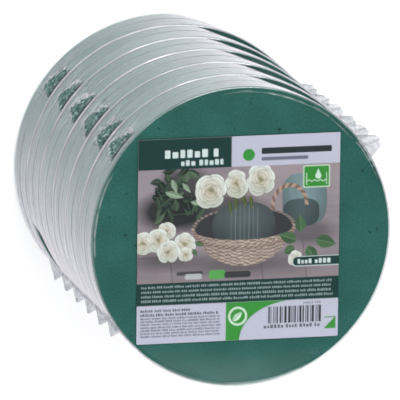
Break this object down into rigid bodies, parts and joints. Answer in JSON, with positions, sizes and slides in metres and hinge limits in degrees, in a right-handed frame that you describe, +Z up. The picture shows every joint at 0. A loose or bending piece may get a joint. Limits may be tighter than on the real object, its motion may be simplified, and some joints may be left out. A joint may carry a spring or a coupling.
{
  "type": "stack of round floral foam blocks",
  "caption": "Stack of round floral foam blocks, each sealed in clear shrink film over a printed square label; each block lifts off the one below.",
  "frame": {"origin": "centre of the bottom face of the stack, on the film that meets the surface", "axes": "+Z up the stack, out of the labelled faces; +Y towards the top edge of the labels; +X towards the right edge of the labels"},
  "size_m": [0.142, 0.142, 0.1623],
  "materials": {
    "foam": "dark green open-cell phenolic foam, dull, with fine pits and sawn edges",
    "label": null,
    "film_clear": "clear glossy shrink film drawn tight, silvery where it is seen at a low angle",
    "film_crinkled": "the same film gathered and crinkled into a milky weld line and corner tails"
  },
  "bodies": {
    "block_1": {"foam_block_1": "foam", "printed_label_1": "label", "film_back_1": "film_clear", "film_front_1": "film_clear", "film_weld_1": "film_crinkled", "film_tail_upper_right_1": "film_crinkled", "film_tail_upper_left_1": "film_crinkled", "film_tail_lower_left_1": "film_crinkled", "film_tail_lower_right_1": "film_crinkled"},
    "block_2": {"foam_block_2": "foam", "printed_label_2": "label", "film_back_2": "film_clear", "film_front_2": "film_clear", "film_weld_2": "film_crinkled", "film_tail_upper_right_2": "film_crinkled", "film_tail_upper_left_2": "film_crinkled", "film_tail_lower_left_2": "film_crinkled", "film_tail_lower_right_2": "film_crinkled"},
    "block_3": {"foam_block_3": "foam", "printed_label_3": "label", "film_back_3": "film_clear", "film_front_3": "film_clear", "film_weld_3": "film_crinkled", "film_tail_upper_right_3": "film_crinkled", "film_tail_upper_left_3": "film_crinkled", "film_tail_lower_left_3": "film_crinkled", "film_tail_lower_right_3": "film_crinkled"},
    "block_4": {"foam_block_4": "foam", "printed_label_4": "label", "film_back_4": "film_clear", "film_front_4": "film_clear", "film_weld_4": "film_crinkled", "film_tail_upper_right_4": "film_crinkled", "film_tail_upper_left_4": "film_crinkled", "film_tail_lower_left_4": "film_crinkled", "film_tail_lower_right_4": "film_crinkled"},
    "block_5": {"foam_block_5": "foam", "printed_label_5": "label", "film_back_5": "film_clear", "film_front_5": "film_clear", "film_weld_5": "film_crinkled", "film_tail_upper_right_5": "film_crinkled", "film_tail_upper_left_5": "film_crinkled", "film_tail_lower_left_5": "film_crinkled", "film_tail_lower_right_5": "film_crinkled"},
    "block_6": {"foam_block_6": "foam", "printed_label_6": "label", "film_back_6": "film_clear", "film_front_6": "film_clear", "film_weld_6": "film_crinkled", "film_tail_upper_right_6": "film_crinkled", "film_tail_upper_left_6": "film_crinkled", "film_tail_lower_left_6": "film_crinkled", "film_tail_lower_right_6": "film_crinkled"}
  },
  "joints": [
    {"name": "lift_block_2", "type": "slide", "parent": "block_1", "child": "block_2", "axis": [0, 0, 1], "range_m": [0, 0.03]},
    {"name": "lift_block_3", "type": "slide", "parent": "block_2", "child": "block_3", "axis": [0, 0, 1], "range_m": [0, 0.03]},
    {"name": "lift_block_4", "type": "slide", "parent": "block_3", "child": "block_4", "axis": [0, 0, 1], "range_m": [0, 0.03]},
    {"name": "lift_block_5", "type": "slide", "parent": "block_4", "child": "block_5", "axis": [0, 0, 1], "range_m": [0, 0.03]},
    {"name": "lift_block_6", "type": "slide", "parent": "block_5", "child": "block_6", "axis": [0, 0, 1], "range_m": [0, 0.03]}
  ]
}
